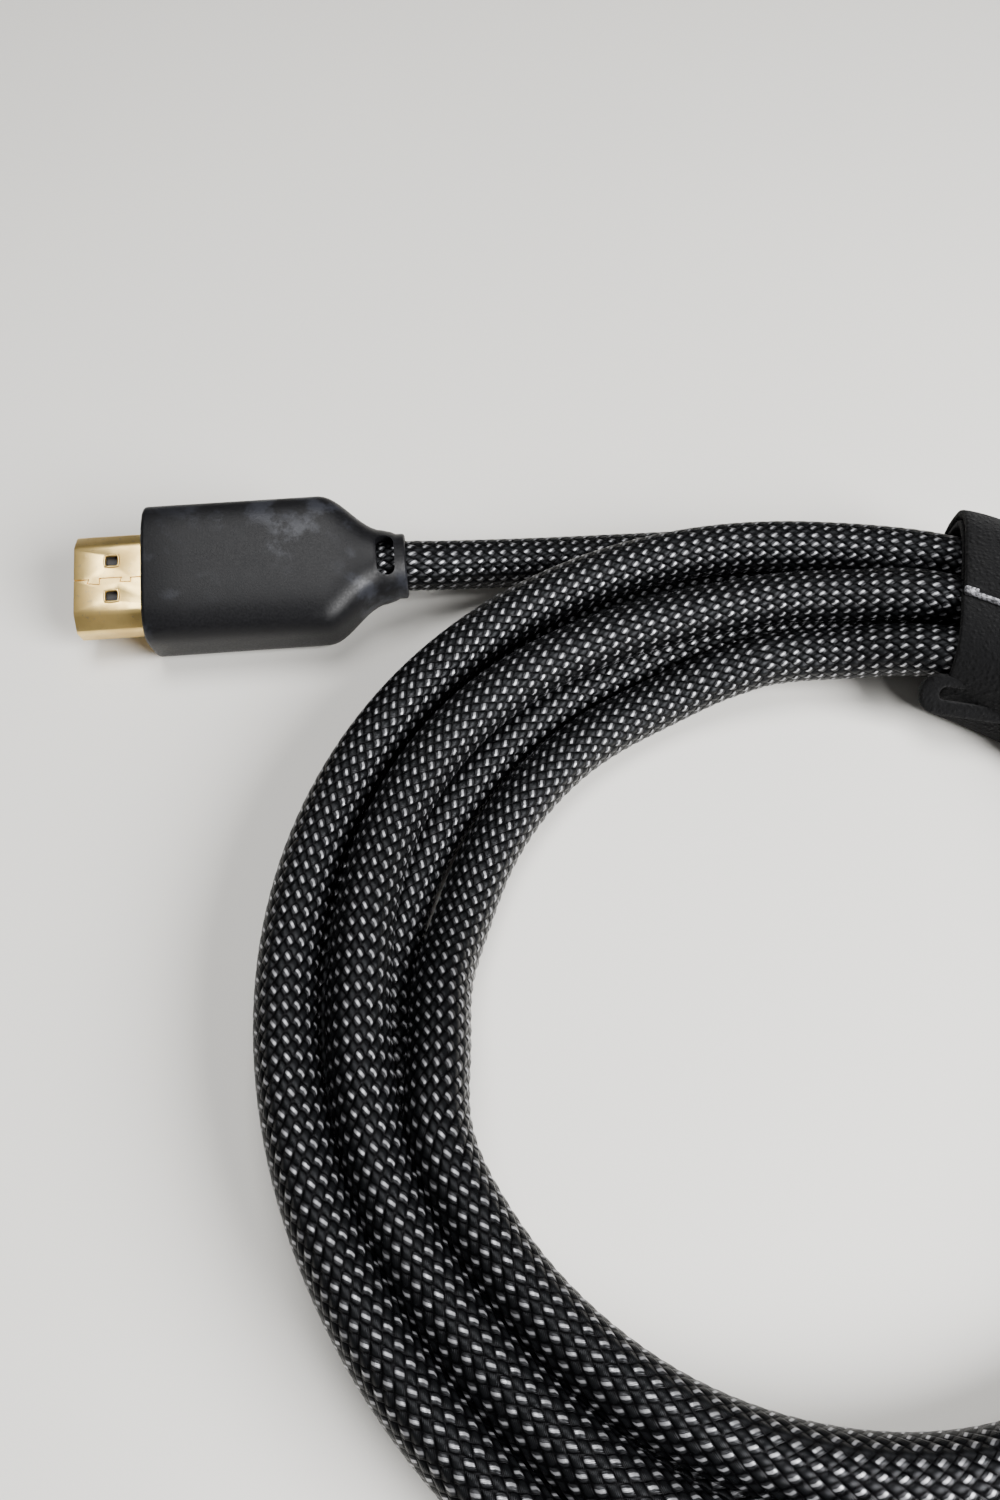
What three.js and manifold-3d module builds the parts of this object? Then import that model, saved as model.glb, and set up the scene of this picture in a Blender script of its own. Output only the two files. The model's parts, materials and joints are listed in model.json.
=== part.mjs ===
// A braided audio and video cable with a flat plug at each end, stored as a round coil
// that one hook-and-loop strap holds. Millimetres, +Z up, standing on z = 0.
// The coil's centre is the working origin; the last lines move the origin to the
// middle of the whole cable's footprint.

import * as THREE from 'three';
import { mergeVertices } from 'three/addons/utils/BufferGeometryUtils.js';
import Module from 'manifold-3d';

const wasm = await Module();
wasm.setup();

// Clearances
const SEAT_GAP = 0.3; // between pieces that touch
const SHELL_FIT = 0.15; // between the shell, its lining and its pocket

// Cord and coil
const CORD_DIAMETER = 6.7;
const OUTER_TURN_RADIUS = 61; // centre line of the outermost turn
const TOP_TURNS = 3; // turns side by side in the upper layer
const SPREAD = 8.2; // how much wider the bundle is where it opens up
const SPREAD_ANGLE = 131; // where it opens up, degrees
const SPREAD_REACH = 72; // degrees to either side of that place
const COIL_SEGMENTS = 60;
const SCALLOP_STEP = 32; // degrees between the points of one turn's arc

// Metal shell of a plug
const SHELL_WIDTH = 13.9;
const SHELL_HEIGHT = 4.45;
const SHELL_NARROW_WIDTH = 9.6; // the face between the two bevels
const BEVEL_HEIGHT = 1.5;
const SHELL_WALL = 0.4;
const SHELL_EXPOSED = 9.6;
const SHELL_SEATED = 3; // length inside the housing
const LATCH_HOLE_LENGTH = 1.6;
const LATCH_HOLE_WIDTH = 1.4;
const LATCH_HOLE_SPACING = 5;
const LATCH_HOLE_FROM_TIP = 5;

// Lining and contacts inside the shell
const LINING_RECESS = 0.9; // how far the lining stays behind the shell's rim
const SLOT_WIDTH = 11.6;
const SLOT_HEIGHT = 1.9;
const SLOT_DEPTH = 6.5;
const UPPER_CONTACTS = 10;
const LOWER_CONTACTS = 9;
const CONTACT_PITCH = 1;
const CONTACT_WIDTH = 0.45;
const CONTACT_THICKNESS = 0.25;
const CONTACT_LENGTH = 5.4;
const CONTACT_BAR = 0.6;
const CONTACT_RECESS = 0.5; // how far the contacts stay behind the lining's face

// Moulded housing with its strain relief collar
const HOUSING_WIDTH = 19.6;
const HOUSING_THICKNESS = 11.4;
const BODY_LENGTH = 23.4; // the straight part
const SHOULDER_LENGTH = 8.2; // the part that narrows to the collar
const COLLAR_LENGTH = 3;
const COLLAR_ROOT_DIAMETER = 10;
const COLLAR_END_DIAMETER = 8.5;
const FRONT_EDGE = 0.6; // rounding of the front edge
const HOUSING_SIDES = 36;
const BORE_DEPTH = 7;
const WINDOW_LENGTH = 2.4;
const WINDOW_WIDTH = 5.6;
const WINDOW_FROM_END = 1.5;

// Hook-and-loop strap
const STRAP_WIDTH = 16;
const STRAP_THICKNESS = 1.3;
const STRAP_ANGLE = 59.5; // place on the coil, degrees
const STRAP_TAIL = 4; // loose end on the coil's inner side

// Plug places on the floor: the middle of the housing's front face, from the coil's centre.
// A heading is where the tip points, and a roll tips the plug about its own length.
const NEAR_PLUG = { x: -85.6, y: 55.8, heading: 185, roll: -19 };
const FAR_PLUG = { x: 114.6, y: -24.5, heading: -43, roll: 0 };

// Cord routes from each plug to the coil's outer edge, [x, y, z]
const NEAR_LEAD = [
  [-46.5, 59.7, 6.4],
  [-38.8, 61.7, 4.6],
  [-30, 63.1, 3.6],
  [-20.5, 63.9, 3.4],
  [-11.3, 64.4, 3.4],
];
const FAR_LEAD = [
  [82.5, 5.6, 4.7],
  [75.4, 13.4, 3.6],
  [66.6, 22.2, 3.4],
  [58.6, 31.2, 3.4],
  [51.6, 39.5, 3.4],
];

const DEGREE = Math.PI / 180;
const CORD_RADIUS = CORD_DIAMETER / 2;
const LAYER_RISE = CORD_DIAMETER * Math.sin(60 * DEGREE);
const BORE_RADIUS = CORD_RADIUS + SEAT_GAP;
const HOUSING_LENGTH = BODY_LENGTH + SHOULDER_LENGTH + COLLAR_LENGTH;
const INNER_TURN_RADIUS = OUTER_TURN_RADIUS - (TOP_TURNS - 1) * CORD_DIAMETER;
const COIL_TOP = CORD_RADIUS + LAYER_RISE + CORD_RADIUS;

const GOLD = { color: 0xe6cf86, roughness: 0.25, metalness: 1 };
const BLACK_PLASTIC = { color: 0x141518, roughness: 0.5, metalness: 0 };
const DARK_LINING = { color: 0x0c0c0d, roughness: 0.6, metalness: 0 };
const BRAID = { color: 0x26272a, roughness: 0.7, metalness: 0 };
const STRAP_CLOTH = { color: 0x17181a, roughness: 0.9, metalness: 0 };

function namedMesh(name, geometry, look) {
  const mesh = new THREE.Mesh(geometry, new THREE.MeshStandardMaterial(look));
  mesh.name = name;
  return mesh;
}

// Booleans

function toSolid(geometry) {
  const bare = geometry.clone();
  for (const key of Object.keys(bare.attributes)) {
    if (key !== 'position') bare.deleteAttribute(key);
  }
  const merged = mergeVertices(bare, 1e-4);
  return new wasm.Manifold(new wasm.Mesh({
    numProp: 3,
    vertProperties: new Float32Array(merged.attributes.position.array),
    triVerts: new Uint32Array(merged.index.array),
  }));
}

function toGeometry(solid) {
  const mesh = solid.getMesh();
  const geometry = new THREE.BufferGeometry();
  geometry.setAttribute('position', new THREE.BufferAttribute(mesh.vertProperties, 3));
  geometry.setIndex(new THREE.BufferAttribute(mesh.triVerts, 1));
  const flat = geometry.toNonIndexed();
  flat.computeVertexNormals();
  return flat;
}

function cut(geometry, ...cutters) {
  const rest = cutters.reduce((solid, cutter) => solid.subtract(toSolid(cutter)), toSolid(geometry));
  return toGeometry(rest);
}

function box(xFrom, xTo, width, zFrom, zTo, yMiddle = 0) {
  const geometry = new THREE.BoxGeometry(xTo - xFrom, width, zTo - zFrom);
  return geometry.translate((xFrom + xTo) / 2, yMiddle, (zFrom + zTo) / 2);
}

// Outlines

function shapeOf(points) {
  return new THREE.Shape(points.map(([x, y]) => new THREE.Vector2(x, y)));
}

// Moves every side of a convex counterclockwise outline outwards by a distance.
function offsetOutline(points, distance) {
  return points.map((point, i) => {
    const before = points[(i + points.length - 1) % points.length];
    const after = points[(i + 1) % points.length];
    const inward = new THREE.Vector2(point[0] - before[0], point[1] - before[1]).normalize();
    const onward = new THREE.Vector2(after[0] - point[0], after[1] - point[1]).normalize();
    const normalIn = new THREE.Vector2(inward.y, -inward.x);
    const normalOn = new THREE.Vector2(onward.y, -onward.x);
    const scale = distance / (1 + normalIn.dot(normalOn));
    return [
      point[0] + (normalIn.x + normalOn.x) * scale,
      point[1] + (normalIn.y + normalOn.y) * scale,
    ];
  });
}

// Extrudes an outline given across a plug, as [y, z], from one x to another.
function alongPlug(shape, xFrom, xTo) {
  const geometry = new THREE.ExtrudeGeometry(shape, { depth: xTo - xFrom, bevelEnabled: false });
  geometry.rotateX(Math.PI / 2);
  geometry.rotateZ(Math.PI / 2);
  return geometry.translate(xFrom, 0, 0);
}

// Plug: +X towards the tip, the housing's front face at x = 0, the bevelled side up

function shellOutline(outset) {
  const side = SHELL_WIDTH / 2;
  const top = SHELL_HEIGHT / 2;
  const narrow = SHELL_NARROW_WIDTH / 2;
  return offsetOutline([
    [-side, -top],
    [side, -top],
    [side, top - BEVEL_HEIGHT],
    [narrow, top],
    [-narrow, top],
    [-side, top - BEVEL_HEIGHT],
  ], outset);
}

function shellGeometry() {
  const section = shapeOf(shellOutline(0));
  section.holes.push(shapeOf(shellOutline(-SHELL_WALL)));
  const holeEnd = SHELL_EXPOSED - LATCH_HOLE_FROM_TIP + LATCH_HOLE_LENGTH / 2;
  const holes = [-1, 1].map((side) => box(
    holeEnd - LATCH_HOLE_LENGTH, holeEnd, LATCH_HOLE_WIDTH,
    -SHELL_HEIGHT, SHELL_HEIGHT, side * LATCH_HOLE_SPACING / 2,
  ));
  return cut(alongPlug(section, -SHELL_SEATED, SHELL_EXPOSED), ...holes);
}

function liningGeometry() {
  const section = shapeOf(shellOutline(-SHELL_WALL - SHELL_FIT));
  const face = SHELL_EXPOSED - LINING_RECESS;
  const block = alongPlug(section, SHELL_FIT - SHELL_SEATED, face);
  return cut(block, box(face - SLOT_DEPTH, face + 1, SLOT_WIDTH, -SLOT_HEIGHT / 2, SLOT_HEIGHT / 2));
}

// A row of contact strips that a bar joins at the back, lying against one wall of the slot.
function contactGeometry(count, wall) {
  const front = SHELL_EXPOSED - LINING_RECESS - CONTACT_RECESS;
  const back = front - CONTACT_LENGTH;
  const half = (count - 1) * CONTACT_PITCH / 2;
  const outline = [[back, -half - CONTACT_WIDTH / 2]];
  for (let i = 0; i < count; i += 1) {
    const y = -half + i * CONTACT_PITCH;
    outline.push([front, y - CONTACT_WIDTH / 2], [front, y + CONTACT_WIDTH / 2]);
    if (i < count - 1) {
      outline.push([back + CONTACT_BAR, y + CONTACT_WIDTH / 2]);
      outline.push([back + CONTACT_BAR, y + CONTACT_PITCH - CONTACT_WIDTH / 2]);
    }
  }
  outline.push([back, half + CONTACT_WIDTH / 2]);
  const geometry = new THREE.ExtrudeGeometry(
    shapeOf(outline),
    { depth: CONTACT_THICKNESS, bevelEnabled: false },
  );
  const seat = SLOT_HEIGHT / 2 - SHELL_FIT;
  return geometry.translate(0, 0, wall > 0 ? seat - CONTACT_THICKNESS : -seat);
}

// Housing stations from the front to the cord: distance, width, thickness, and how square
// the section is (2 is an ellipse).
function housingStations() {
  const collarStart = BODY_LENGTH + SHOULDER_LENGTH;
  const shoulder = (share, squareness) => {
    const fall = (1 - Math.cos(share * Math.PI)) / 2;
    return [
      BODY_LENGTH + share * SHOULDER_LENGTH,
      THREE.MathUtils.lerp(HOUSING_WIDTH, COLLAR_ROOT_DIAMETER, fall),
      THREE.MathUtils.lerp(HOUSING_THICKNESS, COLLAR_ROOT_DIAMETER, fall),
      squareness,
    ];
  };
  return [
    [0, HOUSING_WIDTH - 2 * FRONT_EDGE, HOUSING_THICKNESS - 2 * FRONT_EDGE, 4],
    [FRONT_EDGE, HOUSING_WIDTH, HOUSING_THICKNESS, 4],
    [BODY_LENGTH, HOUSING_WIDTH, HOUSING_THICKNESS, 4],
    shoulder(0.22, 3.6),
    shoulder(0.42, 3.2),
    shoulder(0.6, 2.8),
    shoulder(0.8, 2.4),
    [collarStart, COLLAR_ROOT_DIAMETER, COLLAR_ROOT_DIAMETER, 2],
    [HOUSING_LENGTH, COLLAR_END_DIAMETER, COLLAR_END_DIAMETER, 2],
  ];
}

function housingGeometry() {
  const stations = housingStations();
  const levels = stations.length - 1;
  const geometry = new THREE.CylinderGeometry(1, 1, levels, HOUSING_SIDES, levels);
  const position = geometry.attributes.position;
  const rounded = (value, squareness) => Math.sign(value) * Math.abs(value) ** (2 / squareness);
  for (let i = 0; i < position.count; i += 1) {
    const station = stations[Math.round(position.getY(i) + levels / 2)];
    const [distance, width, thickness, squareness] = station;
    const y = rounded(position.getX(i), squareness) * width / 2;
    const z = rounded(position.getZ(i), squareness) * thickness / 2;
    position.setXYZ(i, -distance, y, z);
  }
  const pocket = alongPlug(shapeOf(shellOutline(SHELL_FIT)), -SHELL_SEATED - SHELL_FIT, 1);
  const bore = new THREE.CylinderGeometry(BORE_RADIUS, BORE_RADIUS, BORE_DEPTH + 1, 24);
  bore.rotateZ(Math.PI / 2);
  bore.translate(-HOUSING_LENGTH - 1 + (BORE_DEPTH + 1) / 2, 0, 0);
  const windowStart = WINDOW_FROM_END - HOUSING_LENGTH;
  const window = box(
    windowStart, windowStart + WINDOW_LENGTH, WINDOW_WIDTH, -HOUSING_THICKNESS, HOUSING_THICKNESS,
  );
  return cut(geometry, pocket, bore, window);
}

// The rolled housing rests on its lower edge, so its middle stands this high.
function restingHeight(roll) {
  const section = new THREE.Vector2();
  let lowest = 0;
  for (let step = 0; step < HOUSING_SIDES; step += 1) {
    const angle = step / HOUSING_SIDES * 2 * Math.PI;
    section.set(
      Math.sign(Math.sin(angle)) * Math.sqrt(Math.abs(Math.sin(angle))) * HOUSING_WIDTH / 2,
      Math.sign(Math.cos(angle)) * Math.sqrt(Math.abs(Math.cos(angle))) * HOUSING_THICKNESS / 2,
    );
    section.rotateAround(new THREE.Vector2(), roll * DEGREE);
    lowest = Math.min(lowest, section.y);
  }
  return -lowest;
}

function plug(side, place) {
  const group = new THREE.Group();
  group.add(
    namedMesh(`${side}_shell`, shellGeometry(), GOLD),
    namedMesh(`${side}_contact_lining`, liningGeometry(), DARK_LINING),
    namedMesh(`${side}_upper_contacts`, contactGeometry(UPPER_CONTACTS, 1), GOLD),
    namedMesh(`${side}_lower_contacts`, contactGeometry(LOWER_CONTACTS, -1), GOLD),
    namedMesh(`${side}_housing`, housingGeometry(), BLACK_PLASTIC),
  );
  group.position.set(place.x, place.y, restingHeight(place.roll));
  group.rotation.set(place.roll * DEGREE, 0, place.heading * DEGREE, 'ZYX');
  group.updateMatrixWorld(true);
  return group;
}

// Cord

function leadGeometry(plugGroup, route) {
  const inHousing = [BORE_DEPTH - SEAT_GAP, BORE_DEPTH / 2, 0, -CORD_RADIUS].map((depth) => (
    new THREE.Vector3(depth - HOUSING_LENGTH, 0, 0).applyMatrix4(plugGroup.matrixWorld)
  ));
  const onFloor = route.map((point) => new THREE.Vector3(...point));
  const path = new THREE.CatmullRomCurve3([...inHousing, ...onFloor], false, 'centripetal');
  const section = new THREE.Shape().absarc(0, 0, CORD_RADIUS, 0, 2 * Math.PI);
  return new THREE.ExtrudeGeometry(section, {
    curveSegments: 5,
    steps: 12,
    bevelEnabled: false,
    extrudePath: path,
  });
}

// Coil: the turns' round tops show as scallops along the ring

function bundleSpread(degrees) {
  const away = Math.abs(((degrees - SPREAD_ANGLE + 540) % 360) - 180) / SPREAD_REACH;
  return away < 1 ? SPREAD * Math.cos(away * Math.PI / 2) ** 2 : 0;
}

function scallop(radius, height, fromDegrees, toDegrees) {
  const count = Math.max(2, Math.ceil(Math.abs(toDegrees - fromDegrees) / SCALLOP_STEP));
  return Array.from({ length: count + 1 }, (_, i) => {
    const angle = THREE.MathUtils.lerp(fromDegrees, toDegrees, i / count) * DEGREE;
    return [radius + CORD_RADIUS * Math.cos(angle), height + CORD_RADIUS * Math.sin(angle)];
  });
}

function coilOutline() {
  const upper = CORD_RADIUS + LAYER_RISE;
  const outline = scallop(OUTER_TURN_RADIUS, upper, -110, 132);
  for (let i = 1; i < TOP_TURNS - 1; i += 1) {
    outline.push(...scallop(OUTER_TURN_RADIUS - i * CORD_DIAMETER, upper, 48, 132));
  }
  outline.push(...scallop(INNER_TURN_RADIUS, upper, 48, 290));
  outline.push(...scallop(INNER_TURN_RADIUS + CORD_RADIUS, CORD_RADIUS, 130, 270));
  outline.push(...scallop(OUTER_TURN_RADIUS - CORD_RADIUS, CORD_RADIUS, 270, 410));
  return outline;
}

function coilGeometry() {
  const outline = coilOutline();
  outline.push(outline[0]);
  const profile = outline.map(([radius, height]) => new THREE.Vector2(radius, height));
  const ring = new THREE.LatheGeometry(profile, COIL_SEGMENTS);
  ring.rotateX(Math.PI / 2);
  const position = ring.attributes.position;
  const bundleWidth = OUTER_TURN_RADIUS - INNER_TURN_RADIUS;
  for (let i = 0; i < position.count; i += 1) {
    const x = position.getX(i);
    const y = position.getY(i);
    const radius = Math.hypot(x, y);
    const share = THREE.MathUtils.clamp((OUTER_TURN_RADIUS - radius) / bundleWidth, 0, 1);
    const shifted = radius - share * bundleSpread(Math.atan2(y, x) / DEGREE);
    position.setXY(i, x * shifted / radius, y * shifted / radius);
  }
  const groove = box(
    INNER_TURN_RADIUS - 2 * CORD_DIAMETER, OUTER_TURN_RADIUS + 2 * CORD_DIAMETER,
    STRAP_WIDTH + 2 * SEAT_GAP, -1, STRAP_THICKNESS + SEAT_GAP,
  );
  groove.rotateZ(STRAP_ANGLE * DEGREE);
  return cut(ring, groove);
}

// Strap: a closed band around the bundle and the lead beside it, with its loose end inside

function strapGeometry() {
  const edgeAngle = STRAP_ANGLE + Math.atan2(STRAP_WIDTH / 2, INNER_TURN_RADIUS) / DEGREE;
  const innerWall = INNER_TURN_RADIUS - CORD_RADIUS - bundleSpread(edgeAngle);
  const inside = Math.sqrt(innerWall ** 2 - (STRAP_WIDTH / 2) ** 2) - SEAT_GAP;
  const leadOutside = OUTER_TURN_RADIUS + 2 * CORD_DIAMETER - CORD_RADIUS + 2 * SEAT_GAP;
  const top = COIL_TOP + SEAT_GAP;
  const window = [
    [inside, STRAP_THICKNESS],
    [leadOutside, STRAP_THICKNESS],
    [leadOutside, CORD_DIAMETER],
    [OUTER_TURN_RADIUS + CORD_RADIUS + 2 * SEAT_GAP, top - CORD_RADIUS],
    [OUTER_TURN_RADIUS + CORD_RADIUS / 2, top],
    [inside + CORD_RADIUS / 2, top],
    [inside, top - CORD_RADIUS],
  ];
  const band = shapeOf(offsetOutline(window, STRAP_THICKNESS));
  band.holes.push(shapeOf(window));
  const tail = shapeOf([
    [inside - STRAP_THICKNESS - STRAP_TAIL, STRAP_THICKNESS / 2],
    [inside - STRAP_THICKNESS - STRAP_TAIL + STRAP_THICKNESS / 2, 0],
    [inside, 0],
    [inside, STRAP_THICKNESS],
    [inside - STRAP_THICKNESS - STRAP_TAIL + STRAP_THICKNESS / 2, STRAP_THICKNESS],
  ]);
  const [loop, end] = [band, tail].map((shape) => {
    const geometry = new THREE.ExtrudeGeometry(shape, { depth: STRAP_WIDTH, bevelEnabled: false });
    geometry.translate(0, 0, -STRAP_WIDTH / 2);
    geometry.rotateX(Math.PI / 2);
    return geometry.rotateZ(STRAP_ANGLE * DEGREE);
  });
  return toGeometry(toSolid(loop).add(toSolid(end)));
}

// Assembly

const nearPlug = plug('near_plug', NEAR_PLUG);
const farPlug = plug('far_plug', FAR_PLUG);
const cable = new THREE.Group();
cable.add(
  nearPlug,
  farPlug,
  namedMesh('cord_near_lead', leadGeometry(nearPlug, NEAR_LEAD), BRAID),
  namedMesh('cord_coil', coilGeometry(), BRAID),
  namedMesh('cord_far_lead', leadGeometry(farPlug, FAR_LEAD), BRAID),
  namedMesh('strap', strapGeometry(), STRAP_CLOTH),
);

cable.updateMatrixWorld(true);
const extent = new THREE.Box3().setFromObject(cable, true);
const middle = extent.getCenter(new THREE.Vector3());
cable.position.set(-middle.x, -middle.y, -extent.min.z);

const model = new THREE.Group();
model.add(cable);

export default model;
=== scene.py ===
"""A braided audio and video cable with a flat plug at each end, wound as a coil
that a hook-and-loop strap holds. It is dressed over its CAD solids in Blender."""

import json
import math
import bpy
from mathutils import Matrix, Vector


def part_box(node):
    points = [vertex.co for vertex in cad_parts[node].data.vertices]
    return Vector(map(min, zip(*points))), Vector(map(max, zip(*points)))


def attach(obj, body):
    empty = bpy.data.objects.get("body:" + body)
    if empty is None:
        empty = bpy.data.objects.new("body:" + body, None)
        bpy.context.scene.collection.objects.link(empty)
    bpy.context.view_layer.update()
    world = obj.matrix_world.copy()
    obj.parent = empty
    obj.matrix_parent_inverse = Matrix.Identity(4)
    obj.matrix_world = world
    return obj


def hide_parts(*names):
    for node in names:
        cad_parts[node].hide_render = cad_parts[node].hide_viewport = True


bl_info = {
    "name": "Braided cable with flat plugs",
    "version": (1, 0, 0),
    "blender": (4, 5, 0),
    "location": "View3D > Sidebar > Cable",
    "description": "Builds a braided cable, its two flat metal plugs and the strap round its coil",
    "category": "Add Mesh",
}

import bmesh
import bpy
import numpy as np
from bpy.props import FloatProperty, FloatVectorProperty, IntProperty, PointerProperty
from mathutils import Matrix, Vector, noise

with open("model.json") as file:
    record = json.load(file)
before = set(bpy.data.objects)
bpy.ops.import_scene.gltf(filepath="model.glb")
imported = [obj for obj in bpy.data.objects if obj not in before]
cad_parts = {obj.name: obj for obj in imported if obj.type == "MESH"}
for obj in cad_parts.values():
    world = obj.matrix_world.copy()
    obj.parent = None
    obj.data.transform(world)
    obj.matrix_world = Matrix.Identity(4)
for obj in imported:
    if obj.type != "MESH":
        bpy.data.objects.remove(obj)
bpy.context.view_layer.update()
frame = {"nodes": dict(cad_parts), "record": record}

MM = 0.001

# Places in the frame, as the CAD source has them
MOUNTS = {mount["name"]: mount for mount in frame["record"]["mounts"]}
UNDERSIDE_RADIUS = 54.3 * MM  # from the coil's centre to the mount under it
COIL_CENTRE = Vector(MOUNTS["coil_underside"]["pos_m"]) + Vector((0, UNDERSIDE_RADIUS, 0))
HOUSING_LENGTH = 34.6 * MM
BORE_DEPTH = 7 * MM
BORE_RADIUS = 3.65 * MM
PLUG_PLACES = {
    "near_plug": {"x": -85.6, "y": 55.8, "heading": 185.0, "roll": -19.0},
    "far_plug": {"x": 114.6, "y": -24.5, "heading": -43.0, "roll": 0.0},
}
# Where each lead leaves its collar and reaches the coil, millimetres from the coil's centre
NEAR_LEAD = (
    (-46.5, 59.7, 6.4), (-38.8, 61.7, 4.6), (-30, 63.1, 3.6), (-20.5, 63.9, 3.4), (-11.3, 64.4, 3.4),
)
FAR_LEAD = (
    (82.5, 5.6, 4.7), (75.4, 13.4, 3.6), (66.6, 22.2, 3.4), (58.6, 31.2, 3.4), (51.6, 39.5, 3.4),
)

# Each turn of the coil, clockwise from the near lead: degrees round the centre, radius in millimetres
TURNS = (
    ((90, 64.6), (80, 64.35), (64, 64), (58, 62.4), (52, 60), (46, 58.2), (40, 57.65), (20, 57.65),
     (-10, 57.65), (-40, 57.65), (-70, 57.65), (-100, 57.65), (-130, 57.65), (-160, 57.65),
     (-190, 57.65), (-220, 57.65), (-245, 57.65)),
    ((100, 57.65), (80, 57.65), (64, 57.3), (58, 55.7), (52, 53.3), (46, 51.5), (40, 50.95), (20, 50.95),
     (-10, 50.95), (-40, 50.95), (-70, 50.95), (-100, 50.95), (-130, 50.95), (-160, 50.95),
     (-185, 50.8), (-210, 49.9), (-230, 49.4), (-245, 49.3)),
    ((100, 49.6), (90, 50.3), (80, 50.9), (64, 50.6), (58, 49), (52, 46.6), (46, 44.8), (40, 44.25),
     (20, 44.25), (-10, 44.25), (-40, 44.25), (-65, 44.6), (-95, 45.9), (-125, 47.5), (-145, 47.9),
     (-158, 47.7), (-170, 45.4), (-180, 44.6), (-190, 43.5), (-205, 42.95), (-225, 42.55),
     (-245, 42.4)),
    ((100, 43.3), (90, 44.2), (80, 44.9), (70, 45.8), (60, 46.8), (48, 47.6), (20, 47.6),
     (-10, 47.9), (-40, 50.95), (-70, 54), (-100, 54.3), (-130, 54.3), (-155, 54.3), (-170, 53.5),
     (-180, 53.2), (-190, 53.5), (-200, 53.6), (-210, 53.5), (-220, 52.9), (-230, 51.8),
     (-240, 50.6), (-250, 49.9)),
    ((100, 50), (90, 50.8), (80, 51.7), (70, 53.1), (60, 54.1), (48, 54.3), (25, 54.8), (0, 57.65),
     (-25, 60.5), (-45, 61), (-75, 61), (-105, 61), (-130, 60.9), (-160, 60.8), (-190, 61),
     (-220, 60.8), (-245, 60.5)),
    ((100, 60.4), (90, 60.4), (80, 60.7), (70, 61), (63, 61.2), (56, 62), (49, 63.6), (43, 64.5)),
)
FLOOR_TURNS = 3  # the first turns lie on the floor, and the others on them
STRAP_ANGLE = 59.5  # degrees


def catmull_rom(points, spacing):
    """Points at a steady spacing along a centripetal curve through the given points."""
    pts = np.array(points, dtype=float)
    pts = np.vstack([2 * pts[0] - pts[1], pts, 2 * pts[-1] - pts[-2]])
    dense = []
    for a, b, c, d in zip(pts[:-3], pts[1:-2], pts[2:-1], pts[3:]):
        gaps = [max(np.linalg.norm(q - p), 1e-9) ** 0.5 for p, q in ((a, b), (b, c), (c, d))]
        knots = np.cumsum([0.0] + gaps)
        t = np.linspace(knots[1], knots[2], 24, endpoint=False)[:, None]
        t0, t1, t2, t3 = knots
        ab = (t1 - t) / (t1 - t0) * a + (t - t0) / (t1 - t0) * b
        bc = (t2 - t) / (t2 - t1) * b + (t - t1) / (t2 - t1) * c
        cd = (t3 - t) / (t3 - t2) * c + (t - t2) / (t3 - t2) * d
        abc = (t2 - t) / (t2 - t0) * ab + (t - t0) / (t2 - t0) * bc
        bcd = (t3 - t) / (t3 - t1) * bc + (t - t1) / (t3 - t1) * cd
        dense.append((t2 - t) / (t2 - t1) * abc + (t - t1) / (t2 - t1) * bcd)
    dense = np.vstack(dense + [pts[-2][None, :]])
    walked = np.concatenate([[0.0], np.cumsum(np.linalg.norm(np.diff(dense, axis=0), axis=1))])
    count = int(round(walked[-1] / spacing))
    at = np.linspace(0.0, walked[-1], count + 1)
    return np.stack([np.interp(at, walked, dense[:, i]) for i in range(3)], axis=1)


def plug_matrix(name):
    """From a plug's own axes, +X to its tip and the bevelled side up, to the frame."""
    place = PLUG_PLACES[name]
    low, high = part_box(name + "_housing")
    turn = Matrix.Rotation(math.radians(place["heading"]), 4, "Z")
    roll = Matrix.Rotation(math.radians(place["roll"]), 4, "X")
    height = (low[2] + high[2]) / 2
    spot = Vector((place["x"] * MM + COIL_CENTRE.x, place["y"] * MM + COIL_CENTRE.y, height))
    return Matrix.Translation(spot) @ turn @ roll


# The cord's route


def turn_radii(angles):
    """The radius of each turn at the same angles, from smooth curves through TURNS."""
    radii = []
    for number, turn in enumerate(TURNS):
        before = TURNS[number - 1][-2:] if number else ()
        after = TURNS[number + 1][:2] if number + 1 < len(TURNS) else ()
        keys = [(a + 360, r) for a, r in before] + list(turn) + [(a - 360, r) for a, r in after]
        known = np.array(sorted(keys))
        slopes = np.gradient(known[:, 1], known[:, 0])
        spot = np.clip(np.searchsorted(known[:, 0], angles) - 1, 0, len(known) - 2)
        start, end = known[spot], known[spot + 1]
        width = end[:, 0] - start[:, 0]
        t = np.clip((angles - start[:, 0]) / width, 0, 1)
        radii.append(
            (2 * t**3 - 3 * t**2 + 1) * start[:, 1] + (t**3 - 2 * t**2 + t) * width * slopes[spot]
            + (3 * t**2 - 2 * t**3) * end[:, 1] + (t**3 - t**2) * width * slopes[spot + 1]
        )
    return np.array(radii)


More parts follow.
